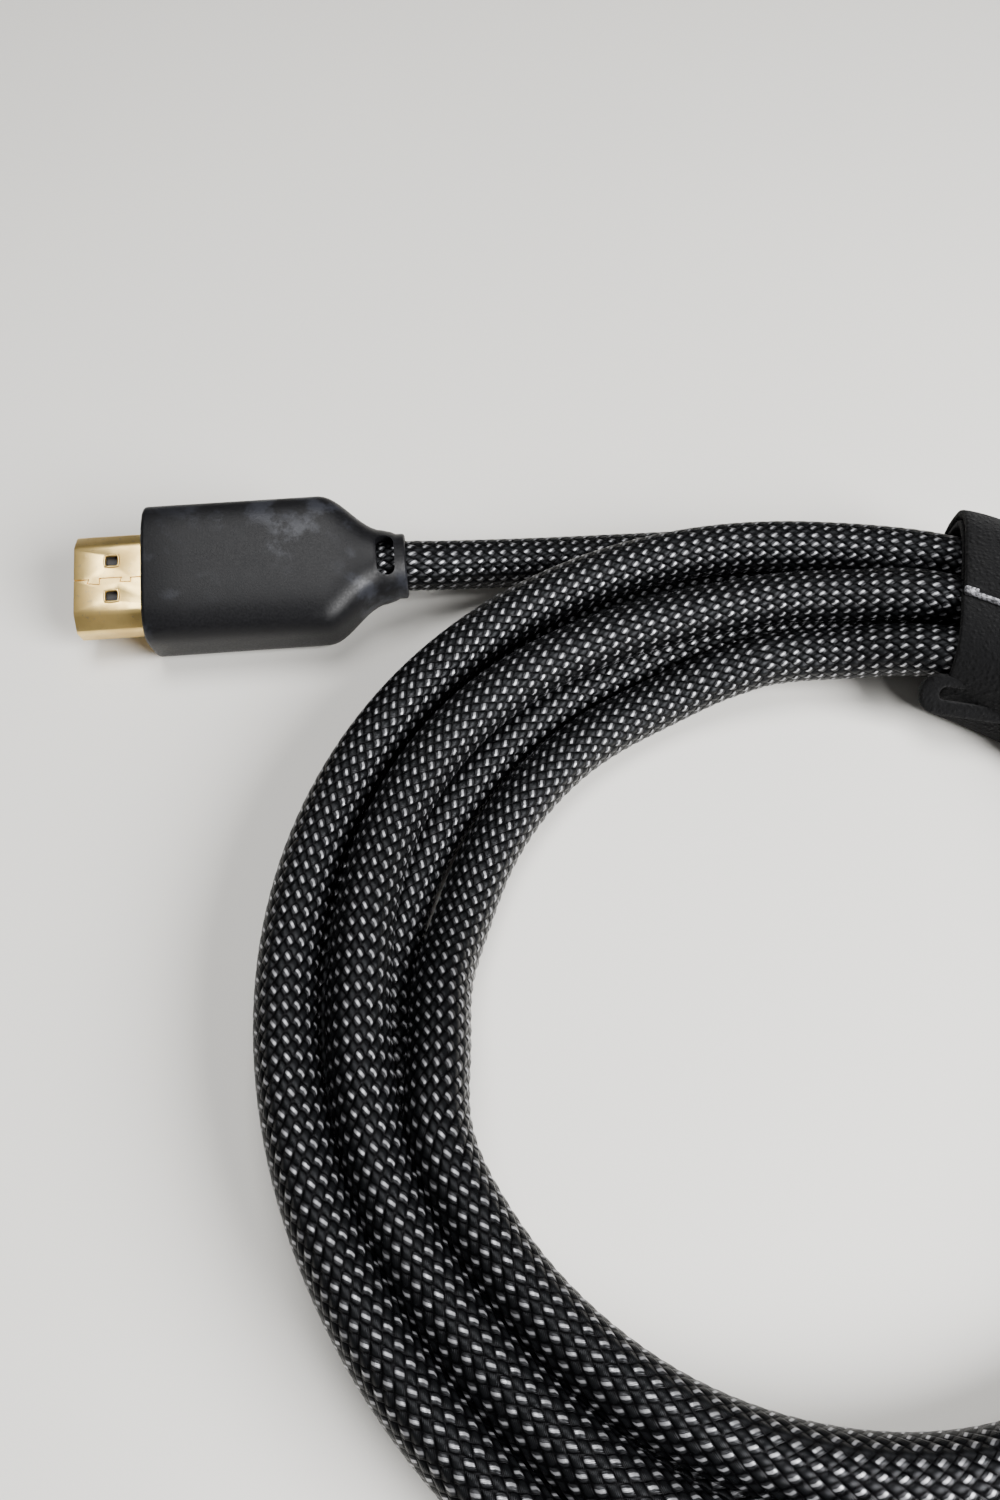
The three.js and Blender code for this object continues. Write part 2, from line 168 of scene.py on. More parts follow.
def coil_points(diameter, strap_lift):
    """Points round the coil: every turn lies on the floor or on the turns under it."""
    angles = np.arange(96.0, -262.0, -4.0)
    radii = turn_radii(angles)
    low = diameter / 2 / MM
    size = diameter / MM
    heights = np.full_like(radii, low)
    for number in range(2, len(TURNS)):
        for under in range(min(number, FLOOR_TURNS)):
            apart = np.abs(radii[number] - radii[under])
            on_floor = heights[under] < low + 0.4 * size
            rest = heights[under] + np.sqrt(np.maximum(size**2 - apart**2, 0))
            touching = on_floor & (apart < size)
            heights[number] = np.where(touching, np.maximum(heights[number], rest), heights[number])
    # A weighted mean of five neighbours takes the corners out of the climbs
    padded = np.pad(heights, ((0, 0), (2, 2)), mode="edge")
    heights = (
        padded[:, :-4] + 2 * padded[:, 1:-3] + 3 * padded[:, 2:-2] + 2 * padded[:, 3:-1] + padded[:, 4:]
    ) / 9
    nearness = np.clip(1 - (np.abs(angles - STRAP_ANGLE) - 9) / 16, 0, 1)
    heights += strap_lift / MM * nearness**2 * (3 - 2 * nearness)
    points = []
    last = len(TURNS) - 1
    for number in range(len(TURNS)):
        for angle, radius, height in zip(angles, radii[number], heights[number]):
            if number == last and angle < TURNS[last][-1][0]:
                break
            turned = math.radians(angle)
            points.append((
                COIL_CENTRE.x + radius * MM * math.cos(turned),
                COIL_CENTRE.y + radius * MM * math.sin(turned),
                height * MM,
            ))
    return points


def lead_points(name, lead):
    """From inside the collar, out of it and along the lead's listed points."""
    matrix = plug_matrix(name)
    depths = (BORE_DEPTH - 0.3 * MM, BORE_DEPTH / 2, 0.0)
    inside = [tuple(matrix @ Vector((depth - HOUSING_LENGTH, 0, 0))) for depth in depths]
    return inside + [(COIL_CENTRE.x + x * MM, COIL_CENTRE.y + y * MM, z * MM) for x, y, z in lead]


def cord_route(cord):
    """Points along the cord's middle, from inside one collar to inside the other."""
    points = lead_points("near_plug", NEAR_LEAD)
    points += coil_points(cord.diameter, cord.strap_lift)
    points += lead_points("far_plug", FAR_LEAD)[::-1]
    return catmull_rom(points, cord.cell_length / 2)


# Node building


class Nodes:
    """Short calls that add and link the nodes of one material."""

    def __init__(self, name):
        self.material = bpy.data.materials.new(name)
        self.material.use_nodes = True
        self.tree = self.material.node_tree
        self.shader = self.tree.nodes["Principled BSDF"]

    def add(self, kind, **settings):
        node = self.tree.nodes.new(kind)
        for key, value in settings.items():
            setattr(node, key, value)
        return node

    def join(self, value, socket):
        if isinstance(value, bpy.types.NodeSocket):
            self.tree.links.new(value, socket)
        elif value is not None:
            socket.default_value = value

    def math(self, operation, a, b=None, c=None):
        node = self.add("ShaderNodeMath", operation=operation)
        for value, socket in zip((a, b, c), node.inputs):
            self.join(value, socket)
        return node.outputs[0]

    def mix(self, factor, a, b):
        node = self.add("ShaderNodeMix", data_type="RGBA")
        self.join(factor, node.inputs["Factor"])
        self.join(a, node.inputs[6])
        self.join(b, node.inputs[7])
        return node.outputs[2]

    def span(self, value, low, high, to_low=0.0, to_high=1.0):
        node = self.add("ShaderNodeMapRange", interpolation_type="SMOOTHSTEP")
        for item, socket in zip((value, low, high, to_low, to_high), node.inputs):
            self.join(item, socket)
        return node.outputs[0]

    def coordinates(self, scale=(1, 1, 1)):
        source = self.add("ShaderNodeTexCoord")
        mapping = self.add("ShaderNodeMapping")
        mapping.inputs["Scale"].default_value = scale
        self.tree.links.new(source.outputs["Object"], mapping.inputs["Vector"])
        return mapping.outputs[0]

    def noise(self, vector, scale, detail=2.0, roughness=0.5):
        node = self.add("ShaderNodeTexNoise")
        self.join(vector, node.inputs["Vector"])
        node.inputs["Scale"].default_value = scale
        node.inputs["Detail"].default_value = detail
        node.inputs["Roughness"].default_value = roughness
        return node.outputs[0]

    def bump(self, height, distance, strength=1.0):
        node = self.add("ShaderNodeBump")
        node.inputs["Distance"].default_value = distance
        node.inputs["Strength"].default_value = strength
        self.join(height, node.inputs["Height"])
        return node.outputs[0]

    def finish(self, colour, roughness, normal=None, **sockets):
        self.join(colour, self.shader.inputs["Base Color"])
        self.join(roughness, self.shader.inputs["Roughness"])
        if normal is not None:
            self.join(normal, self.shader.inputs["Normal"])
        for name, value in sockets.items():
            self.shader.inputs[name.replace("_", " ")].default_value = value
        return self.material


def braid_material():
    """Glossy silver and black yarns that cross over and under, read from the cord's own UV map, with a
    painted highlight on the crown of each silver float and painted shade round it.
    """
    n = Nodes("braid")
    uv = n.add("ShaderNodeUVMap", uv_map="braid")
    parts = n.add("ShaderNodeSeparateXYZ")
    n.join(uv.outputs[0], parts.inputs[0])
    u, v = parts.outputs[0], parts.outputs[1]
    p, q = n.math("ADD", u, v), n.math("SUBTRACT", u, v)
    column, row = n.math("FLOOR", p), n.math("FLOOR", q)
    along_p = n.math("SUBTRACT", n.math("SUBTRACT", p, column), 0.5)
    along_q = n.math("SUBTRACT", n.math("SUBTRACT", q, row), 0.5)
    halved = n.math("MULTIPLY", n.math("ADD", column, row), 0.5)
    odd = n.math("GREATER_THAN", n.math("FRACT", halved), 0.25)
    even = n.math("SUBTRACT", 1.0, odd)
    lengthways = n.math("ADD", n.math("MULTIPLY", along_p, even), n.math("MULTIPLY", along_q, odd))
    across = n.math("ADD", n.math("MULTIPLY", along_q, even), n.math("MULTIPLY", along_p, odd))
    across_sq = n.math("MULTIPLY", across, across)
    length_sq = n.math("MULTIPLY", lengthways, lengthways)
    # Each yarn is round across and dives at both ends of its float
    crown = n.math("SUBTRACT", 1.0, n.math("MULTIPLY", across_sq, 3.6))
    dive = n.math("SUBTRACT", 1.0, n.math("MULTIPLY", length_sq, 3.2))
    height = n.math("MULTIPLY", crown, dive)
    filament = n.math("SINE", n.math("MULTIPLY", across, 48.0))
    fine = n.math("MULTIPLY_ADD", filament, 0.035, height)
    wander = n.noise(n.coordinates(), 900.0, 2.0)
    # The silver yarn's light colour shows only in an oval on the crown of each float. It is partly the yarn's
    # own colour and partly a painted highlight, and it falls to painted shade at the float's sides and ends.
    silver_yarn_and_highlight = n.math("MULTIPLY", n.span(across_sq, 0.030, 0.001), n.span(length_sq, 0.25, 0.04))
    silver = n.mix(silver_yarn_and_highlight, (0.016, 0.0165, 0.018, 1), (0.42, 0.42, 0.44, 1))
    silver = n.mix(n.span(wander, 0.35, 0.65, 0.0, 0.45), silver, (0.06, 0.06, 0.064, 1))
    # The black yarn is painted a little lighter along its crown and darker at its sides: a painted sheen and
    # painted shade on its round profile.
    black = n.mix(n.span(across_sq, 0.2, 0.0), (0.002, 0.002, 0.0025, 1), (0.009, 0.0095, 0.0105, 1))
    colour = n.mix(odd, silver, black)
    # Painted shade: where the floats dive under one another, the colour falls to near black in the hollows.
    colour = n.mix(n.span(height, 0.28, 0.62), (0.002, 0.002, 0.0025, 1), colour)
    rough = n.span(wander, 0.3, 0.7, 0.26, 0.40)
    return n.finish(colour, rough, n.bump(fine, 0.16 * MM, 0.9), Metallic=0.6, Specular_IOR_Level=0.15)


# Geometry helpers


def deselect_all():
    if bpy.context.object and bpy.context.object.mode != "OBJECT":
        bpy.ops.object.mode_set(mode="OBJECT")
    bpy.ops.object.select_all(action="DESELECT")


def place_piece(piece, material, slot, *nodes):
    """Gives a piece its finish and ties it to the frame."""
    piece.data.materials.clear()
    piece.data.materials.append(material)
    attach(piece, "root")
    if nodes:
        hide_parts(*nodes)


def braided_tube(name, path, cord):
    """A round tube whose low and high points alternate with the crossings of the braid."""
    sides = 2 * cord.yarns
    centres = np.asarray(path)
    tangents = np.gradient(centres, axis=0)
    tangents /= np.linalg.norm(tangents, axis=1)[:, None]
    normals = np.zeros_like(centres)
    normal = np.cross(tangents[0], (0.0, 0.0, 1.0))
    for i, tangent in enumerate(tangents):
        normal = normal - tangent * np.dot(normal, tangent)
        normal /= np.linalg.norm(normal)
        normals[i] = normal
    sideways = np.cross(tangents, normals)
    walked = np.concatenate([[0.0], np.cumsum(np.linalg.norm(np.diff(centres, axis=0), axis=1))])
    drift = cord.drift * walked
    rings = len(centres)
    turn = np.arange(sides) * math.tau / sides
    angle = turn[None, :] + drift[:, None]
    raised = np.where((np.arange(rings)[:, None] + np.arange(sides)[None, :]) % 2, 1.0, -1.0)
    radius = cord.diameter / 2 - cord.relief * 0.6 + cord.relief * raised
    verts = (
        centres[:, None, :]
        + (radius * np.cos(angle))[..., None] * normals[:, None, :]
        + (radius * np.sin(angle))[..., None] * sideways[:, None, :]
    ).reshape(-1, 3)
    i, j = np.meshgrid(np.arange(rings - 1), np.arange(sides), indexing="ij")
    k = (j + 1) % sides
    near, far = i * sides, (i + 1) * sides
    faces = np.stack([near + j, near + k, far + k, far + j], axis=-1).reshape(-1, 4)
    ends = [list(range(sides))[::-1], [(rings - 1) * sides + s for s in range(sides)]]
    mesh = bpy.data.meshes.new(name)
    mesh.from_pydata(verts.tolist(), [], faces.tolist() + ends)
    layer = mesh.uv_layers.new(name="braid")
    u = (sides - np.stack([j, j + 1, j + 1, j], axis=-1).reshape(-1, 4)) / 2.0
    v = np.stack([i, i, i + 1, i + 1], axis=-1).reshape(-1, 4) / 2.0
    coords = np.stack([u, v], axis=-1).reshape(-1)
    coords = np.concatenate([coords, np.zeros(4 * sides)])
    layer.data.foreach_set("uv", coords)
    mesh.polygons.foreach_set("use_smooth", [True] * len(mesh.polygons))
    mesh.validate()
    piece = bpy.data.objects.new(name, mesh)
    bpy.context.collection.objects.link(piece)
    return piece


# Finishes


def gold_material():
    """Bright plated brass, a little uneven, with fine marks lengthways."""
    n = Nodes("plated_gold")
    where = n.coordinates()
    cloud = n.noise(where, 260.0, 3.0)
    speck = n.noise(where, 1500.0, 2.0)
    colour = n.mix(n.span(cloud, 0.35, 0.68), (0.93, 0.68, 0.26, 1), (0.76, 0.53, 0.19, 1))
    colour = n.mix(n.span(speck, 0.62, 0.72, 0.0, 0.5), colour, (0.55, 0.40, 0.24, 1))
    rough = n.span(cloud, 0.3, 0.7, 0.28, 0.42)
    scratch = n.noise(n.coordinates((0.08, 1.0, 1.0)), 2600.0, 2.0)
    height = n.math("MULTIPLY_ADD", scratch, 0.25, n.noise(where, 420.0, 2.0))
    return n.finish(colour, rough, n.bump(height, 0.05 * MM, 0.5), Metallic=1.0)


def housing_material():
    """Matte moulded black plastic with a fine grain and faint rub marks."""
    n = Nodes("housing_plastic")
    where = n.coordinates()
    grain = n.noise(where, 3800.0, 3.0)
    rub = n.noise(where, 220.0, 4.0, 0.6)
    patch = n.noise(where, 75.0, 2.0)
    worn = n.math("MULTIPLY", n.span(rub, 0.48, 0.64), n.span(patch, 0.47, 0.60))
    colour = n.mix(n.span(grain, 0.3, 0.7), (0.0035, 0.0035, 0.0042, 1), (0.0055, 0.0055, 0.0065, 1))
    colour = n.mix(worn, colour, (0.020, 0.021, 0.026, 1))
    rough = n.math("SUBTRACT", n.span(grain, 0.3, 0.7, 0.40, 0.50), n.math("MULTIPLY", worn, 0.10))
    height = n.math("MULTIPLY_ADD", rub, 0.4, grain)
    return n.finish(colour, rough, n.bump(height, 0.03 * MM, 0.5), Specular_IOR_Level=0.2)


def lining_material():
    n = Nodes("lining_plastic")
    grain = n.noise(n.coordinates(), 3000.0)
    colour = n.mix(grain, (0.006, 0.006, 0.007, 1), (0.014, 0.014, 0.015, 1))
    return n.finish(colour, n.span(grain, 0.3, 0.7, 0.5, 0.6), n.bump(grain, 0.02 * MM, 0.4))


def strap_material():
    """Black brushed loop cloth with short fuzzy fibres."""
    n = Nodes("strap_cloth")
    where = n.coordinates()
    fuzz = n.noise(where, 2600.0, 4.0, 0.7)
    tuft = n.add("ShaderNodeTexVoronoi", feature="F1")
    n.join(where, tuft.inputs["Vector"])
    tuft.inputs["Scale"].default_value = 1500.0
    loops = n.span(tuft.outputs["Distance"], 0.0, 0.6)
    colour = n.mix(fuzz, (0.0012, 0.0012, 0.0014, 1), (0.005, 0.005, 0.0055, 1))
    colour = n.mix(n.span(fuzz, 0.62, 0.75, 0.0, 0.6), colour, (0.014, 0.014, 0.0155, 1))
    height = n.math("MULTIPLY_ADD", loops, -0.6, fuzz)
    return n.finish(
        colour, 0.95, n.bump(height, 0.25 * MM, 0.8), Specular_IOR_Level=0.08, Sheen_Weight=0.04,
        Sheen_Roughness=0.6)


def hook_edge_material():
    """The pale cut edge of the strap, where the nylon threads show."""
    n = Nodes("strap_cut_edge")
    thread = n.noise(n.coordinates(), 2400.0, 3.0, 0.7)
    colour = n.mix(n.span(thread, 0.4, 0.62), (0.06, 0.06, 0.065, 1), (0.42, 0.42, 0.45, 1))
    return n.finish(colour, 0.7, n.bump(thread, 0.2 * MM, 0.8))


# Edit-mode shaping


def edit_mesh():
    bpy.ops.object.mode_set(mode="EDIT")
    return bmesh.from_edit_mesh(bpy.context.object.data)


def select_where(shape, test, kind="faces"):
    """Selects the vertices, edges or faces whose middle passes the test."""
    bpy.ops.mesh.select_mode(type={"verts": "VERT", "edges": "EDGE", "faces": "FACE"}[kind])
    bpy.ops.mesh.select_all(action="DESELECT")
    for part in getattr(shape, kind):
        if kind == "verts":
            hit = test(part.co)
        elif kind == "edges":
            hit = test(part.verts[0].co, part.verts[1].co)
        else:
            hit = test(part.calc_center_median(), part.normal)
        if hit:
            part.select_set(True)
    shape.select_flush_mode()
    bmesh.update_edit_mesh(bpy.context.object.data)


def apply_modifiers(piece):
    bpy.context.view_layer.objects.active = piece
    for modifier in list(piece.modifiers):
        bpy.ops.object.modifier_apply(modifier=modifier.name)


def add_box(name, low, high):
    deselect_all()
    middle = [(a + b) / 2 for a, b in zip(low, high)]
    bpy.ops.mesh.primitive_cube_add(size=1.0, location=middle)
    piece = bpy.context.object
    piece.name = name
    piece.scale = [b - a for a, b in zip(low, high)]
    bpy.ops.object.transform_apply(location=True, rotation=True, scale=True)
    return piece


def cut_with(piece, cutter):
    """Cuts one piece with another, which is then removed."""
    modifier = piece.modifiers.new("cut", "BOOLEAN")
    modifier.operation = "DIFFERENCE"
    modifier.object = cutter
    modifier.solver = "EXACT"
    apply_modifiers(piece)
    bpy.data.objects.remove(cutter, do_unlink=True)


def round_upright_edges(width, segments):
    """Rounds the edges of the active piece that stand upright."""
    shape = edit_mesh()
    select_where(shape, lambda a, b: abs(a.z - b.z) > 1 * MM, "edges")
    bpy.ops.mesh.bevel(offset=width, segments=segments, affect="EDGES")
    bpy.ops.object.mode_set(mode="OBJECT")


def round_edges(piece, width, segments, angle):
    modifier = piece.modifiers.new("edges", "BEVEL")
    modifier.width = width
    modifier.segments = segments
    modifier.limit_method = "ANGLE"
    modifier.angle_limit = math.radians(angle)
    modifier.use_clamp_overlap = True
    apply_modifiers(piece)


def smooth(piece, angle):
    deselect_all()
    piece.select_set(True)
    bpy.context.view_layer.objects.active = piece
    bpy.ops.object.shade_smooth_by_angle(angle=math.radians(angle))


def join_pieces(piece, *others):
    """Makes one piece of several, under the first one's name."""
    deselect_all()
    for part in (*others, piece):
        part.select_set(True)
    bpy.context.view_layer.objects.active = piece
    bpy.ops.object.join()


def add_copy(piece, name, matrix):
    """A copy with its own mesh, moved to its place in the frame."""
    mesh = piece.data.copy()
    mesh.transform(matrix)
    copy = bpy.data.objects.new(name, mesh)
    bpy.context.collection.objects.link(copy)
    return copy


# Plug shells

FOLD_WIDTH = 0.42 * MM
SEAM_WIDTH = 0.2 * MM
SEAM_DEPTH = 0.3 * MM
# The seam's corners in millimetres: distance from the tip, and to the side of the middle
SEAM_BENDS = (
    (-0.2, 0), (2, 0), (1.8, 0.55), (3.4, 0.75), (3.4, -0.1), (6.3, -0.1), (6.1, 0.5), (7.5, 0.6), (7.5, 0),
)


def shell_block(name, shell, x_from, x_to, outset=0.0):
    """A solid bar with the shell's outline: straight sides, and two slopes up to the narrow face."""
    half, low, top = shell.width / 2 + outset, -shell.height / 2 - outset, shell.height / 2 + outset
    knee = shell.height / 2 - shell.bevel_height + outset * 0.4
    piece = add_box(name, (x_from, -half, low), (x_to, half, knee))
    shape = edit_mesh()
    select_where(shape, lambda middle, normal: normal.z > 0.9)
    bpy.ops.mesh.extrude_region_move(TRANSFORM_OT_translate={"value": (0, 0, top - knee)})
    bpy.ops.transform.resize(
        value=(1, (shell.narrow_width / 2 + outset * 0.6) / half, 1), center_override=(x_from, 0, top))
    bpy.ops.object.mode_set(mode="OBJECT")
    return piece


def shell_piece(shell):
    """The stamped shell: a folded tube with latch holes in both broad faces and a dovetailed seam."""
    piece = shell_block("shell_shape", shell, -shell.seated, shell.exposed)
    shape = edit_mesh()
    ends = (-shell.seated, shell.exposed)
    select_where(
        shape, lambda middle, normal: abs(normal.x) > 0.9 and min(abs(middle.x - x) for x in ends) < 1e-6)
    bpy.ops.mesh.delete(type="FACE")
    select_where(shape, lambda a, b: abs(a.x - b.x) > 1 * MM, "edges")
    bpy.ops.mesh.bevel(offset=FOLD_WIDTH, segments=4, affect="EDGES")
    bpy.ops.object.mode_set(mode="OBJECT")
    modifier = piece.modifiers.new("wall", "SOLIDIFY")
    modifier.thickness = shell.wall
    modifier.offset = -1.0
    modifier.use_even_offset = True
    apply_modifiers(piece)
    top = shell.height / 2
    hole_x = shell.exposed - shell.latch_from_tip
    for side, level in ((-1, -top), (1, -top), (-1, top), (1, top)):
        middle = side * shell.latch_spacing / 2
        cut_with(piece, add_box(
            "latch_hole", (hole_x - shell.latch_length / 2, middle - shell.latch_width / 2, level - 1.1 * MM),
            (hole_x + shell.latch_length / 2, middle + shell.latch_width / 2, level + 1.1 * MM)))
    round_edges(piece, 0.09 * MM, 2, 40)
    cut_with(piece, seam_cutter(shell))
    rims = [latch_rim(shell, hole_x, side * shell.latch_spacing / 2) for side in (-1, 1)]
    join_pieces(piece, *rims)
    smooth(piece, 40)
    return piece


def latch_rim(shell, x, y):
    """The soft raised edge that pressing leaves round a latch hole."""
    top = shell.height / 2
    long, wide = shell.latch_length / 2, shell.latch_width / 2
    deselect_all()
    bpy.ops.mesh.primitive_torus_add(
        location=(x, y, top), major_segments=32, minor_segments=10, major_radius=1.0, minor_radius=0.2)
    rim = bpy.context.object
    for vert in rim.data.vertices:
        flat = Vector((vert.co.x, vert.co.y))
        reach = flat.length
        around = flat / reach
        square = max(abs(around.x), abs(around.y))
        corner = 1 / (square * 0.75 + 0.25)
        out = (reach - 1.0) * 0.9 * MM
        vert.co.x = around.x * (long + 0.14 * MM) * corner + around.x * out
        vert.co.y = around.y * (wide + 0.14 * MM) * corner + around.y * out
        vert.co.z *= 0.9 * MM
    bpy.ops.object.transform_apply(location=True, rotation=True, scale=True)
    return rim


def seam_cutter(shell):
    """A hair-thin groove along the middle of the narrow face, with a dovetail near the tip."""
    top = shell.height / 2
    bends = [(shell.exposed - x * MM, y * MM) for x, y in SEAM_BENDS]
    bends.append((-shell.seated - 0.2 * MM, 0.0))
    deselect_all()
    bpy.ops.mesh.primitive_plane_add(size=1.0)
    cutter = bpy.context.object
    cutter.name = "seam_cutter"
    mesh = bpy.data.meshes.new("seam_line")
    steps = [(i, i + 1) for i in range(len(bends) - 1)]
    mesh.from_pydata([(x, y, top - SEAM_DEPTH) for x, y in bends], steps, [])
    cutter.data = mesh
    bpy.ops.object.mode_set(mode="EDIT")
    bpy.ops.mesh.select_all(action="SELECT")
    bpy.ops.mesh.extrude_region_move(TRANSFORM_OT_translate={"value": (0, 0, 1 * MM)})
    bpy.ops.object.mode_set(mode="OBJECT")
    modifier = cutter.modifiers.new("width", "SOLIDIFY")
    modifier.thickness = SEAM_WIDTH
    modifier.offset = 0.0
    apply_modifiers(cutter)
    return cutter


# Plug housings

POCKET_GAP = 0.15 * MM  # round the shell


def housing_sections(housing):
    """From the front to the cord: distance, width, thickness and how square the section is."""
    edge = housing.front_edge
    collar = HOUSING_LENGTH - housing.collar_length
    shoulder = collar - housing.body_length
    sections = []
    for step in range(5):
        turned = math.radians(step * 22.5)
        inset = edge * (1 - math.sin(turned)) * 2
        setback = edge * (1 - math.cos(turned))
        sections.append((setback, housing.width - inset, housing.thickness - inset, 4.0))
    for share in (0.25, 0.5, 0.75, 0.93):
        sections.append((housing.body_length * share, housing.width, housing.thickness, 4.0))
    for step in range(13):
        share = step / 12
        fall = (1 - math.cos(share * math.pi)) / 2
        squareness = 4.0 - 2.0 * min(1.0, share * 1.05)
        sections.append((
            housing.body_length + share * shoulder,
            housing.width + (housing.collar_root - housing.width) * fall,
            housing.thickness + (housing.collar_root - housing.thickness) * fall,
            squareness,
        ))
    root, end = housing.collar_root, housing.collar_end
    for along, size in (
        (0.12, root - 0.2 * MM), (0.40, (root + end) / 2 + 0.1 * MM), (0.60, end + 0.25 * MM),
        (0.90, end + 0.25 * MM), (0.97, end), (1.0, end - 0.5 * MM),
    ):
        sections.append((collar + along * housing.collar_length, size, size, 2.0))
    return sections


def housing_piece(housing, shell):
    """The moulded housing, lofted from ring to ring, with its pocket, bore and two windows."""
    sections = housing_sections(housing)
    sides = housing.sides
    deselect_all()
    bpy.ops.mesh.primitive_circle_add(vertices=sides, radius=1.0)
    piece = bpy.context.object
    piece.name = "housing_shape"
    bpy.ops.object.mode_set(mode="EDIT")
    for section in sections[1:]:
        bpy.ops.mesh.primitive_circle_add(vertices=sides, radius=1.0, location=(-section[0], 0, 0))
    shape = bmesh.from_edit_mesh(piece.data)
    shape.verts.ensure_lookup_table()
    for i, vert in enumerate(shape.verts):
        distance, width, thickness, squareness = sections[i // sides]
        turned = (i % sides) * math.tau / sides
        c, s = math.cos(turned), math.sin(turned)
        vert.co = (
            -distance,
            math.copysign(abs(c) ** (2 / squareness), c) * width / 2,
            math.copysign(abs(s) ** (2 / squareness), s) * thickness / 2,
        )
    bmesh.update_edit_mesh(piece.data)
    bpy.ops.mesh.select_all(action="SELECT")
    bpy.ops.mesh.bridge_edge_loops(type="SINGLE")
    for index in (0, len(sections) - 1):
        shape = bmesh.from_edit_mesh(piece.data)
        distance = -sections[index][0]
        select_where(shape, lambda co: abs(co.x - distance) < 1e-7, "verts")
        bpy.ops.mesh.edge_face_add()
    bpy.ops.mesh.select_all(action="SELECT")
    bpy.ops.mesh.normals_make_consistent(inside=False)
    bpy.ops.object.mode_set(mode="OBJECT")

    cut_with(piece, shell_block("pocket", shell, -shell.seated - POCKET_GAP, 1 * MM, POCKET_GAP))
    deselect_all()
    bpy.ops.mesh.primitive_cylinder_add(
        vertices=64, radius=BORE_RADIUS, depth=BORE_DEPTH + 1 * MM,
        location=(-HOUSING_LENGTH + (BORE_DEPTH - 1 * MM) / 2, 0, 0), rotation=(0, math.pi / 2, 0))
    cut_with(piece, bpy.context.object)
    start = -HOUSING_LENGTH + housing.window_from_end
    window = add_box(
        "window", (start, -housing.window_width / 2, -housing.thickness),
        (start + housing.window_length, housing.window_width / 2, housing.thickness))
    round_upright_edges(1.1 * MM, 6)
    cut_with(piece, window)
    round_edges(piece, 0.12 * MM, 2, 50)
    smooth(piece, 40)
    return piece


# Strap

HEAD_TURN = 19.0  # degrees, off square to the strip
HEAD_TILT = -50.0  # degrees, the inner side downwards
HEAD_HEIGHT = 7.4 * MM
HEAD_HALF_LENGTH = 2.6 * MM
HEAD_HALF_THICKNESS = 0.8 * MM
SLOT_FROM, SLOT_TO = -0.7 * MM, 1.1 * MM
SLOT_MARGIN = 2.4 * MM  # from the slot's end to the head's edge


def strap_direction():
    turned = math.radians(STRAP_ANGLE)
    return Vector((math.cos(turned), math.sin(turned), 0))


def strap_band(strap):
    """One long strip that goes once round the bundle and overlaps itself on the far side."""
    low = strap.thickness / MM / 2
    loop = (
        (67.6, 6.0), (67.3, 9.5), (65.6, 12.6), (61.5, 14.0), (54.5, 13.9), (48, 13.7), (44.4, 12.4),
        (42.6, 9.6), (42.4, 6), (42.6, 2.6), (44, low), (50, low), (57, low), (65, low), (68.2, 1.8),
        (69.2, 5), (68.8, 9.8), (66.8, 13.4), (63, 15.2), (59.5, 15.3), (55, 15.2), (51.3, 14.9),
    )
    line = catmull_rom([(r * MM, 0.0, z * MM) for r, z in loop], 0.8 * MM)
    outward = strap_direction()
    across = Vector((-outward.y, outward.x, 0))
    columns = 17
    verts, faces = [], []
    for i, (radius, _, height) in enumerate(line):
        for j in range(columns):
            side = (j / (columns - 1) - 0.5) * strap.width * radius / (61 * MM)
            edge = abs(side) / strap.width * 2
            side += strap.skew * (radius - 50 * MM)
            curl = 0.25 * MM * edge**6
            fray = noise.noise(Vector((radius * 900, height * 900, side * 200))) * 0.05 * MM
            spot = COIL_CENTRE + outward * (radius - 0.4 * MM * edge**2) + across * side
            verts.append((spot.x, spot.y, height + fray - (curl if height > 9 * MM else 0)))
            if i and j:
                a = i * columns + j
                faces.append((a, a - 1, a - columns - 1, a - columns))
    mesh = bpy.data.meshes.new("strap")
    mesh.from_pydata(verts, [], faces)
    piece = bpy.data.objects.new("strap_band", mesh)
    bpy.context.collection.objects.link(piece)
    deselect_all()
    piece.select_set(True)
    bpy.context.view_layer.objects.active = piece
    edit_mesh()
    bpy.ops.mesh.select_all(action="SELECT")
    bpy.ops.mesh.normals_make_consistent(inside=False)
    bpy.ops.object.mode_set(mode="OBJECT")
    modifier = piece.modifiers.new("cloth", "SOLIDIFY")
    modifier.thickness = strap.thickness
    modifier.offset = 0.0
    apply_modifiers(piece)
    round_edges(piece, 0.3 * MM, 2, 50)
    return piece, line


def strap_head(strap):
    """The wide rounded head on the coil's inner side, with its slot."""
    half = strap.head_width / 2
    long, thick = HEAD_HALF_LENGTH, HEAD_HALF_THICKNESS
    piece = add_box("strap_head", (-long, -half, -thick), (long, half, thick))
    round_upright_edges(2.5 * MM, 8)
    side = half - SLOT_MARGIN
    slot = add_box("slot", (SLOT_FROM, -side, -3 * MM), (SLOT_TO, side, 3 * MM))
    round_upright_edges(0.85 * MM, 6)
    cut_with(piece, slot)
    round_edges(piece, 0.5 * MM, 3, 50)
    angle = math.radians(strap.head_angle)
    turn = Matrix.Rotation(angle + math.radians(HEAD_TURN), 4, "Z")
    tilt = Matrix.Rotation(math.radians(HEAD_TILT), 4, "Y")
    place = COIL_CENTRE + Vector((math.cos(angle), math.sin(angle), 0)) * strap.head_radius
    piece.data.transform(Matrix.Translation(place + Vector((0, 0, HEAD_HEIGHT))) @ turn @ tilt)
    return piece


# Sizes and colours that a user may change


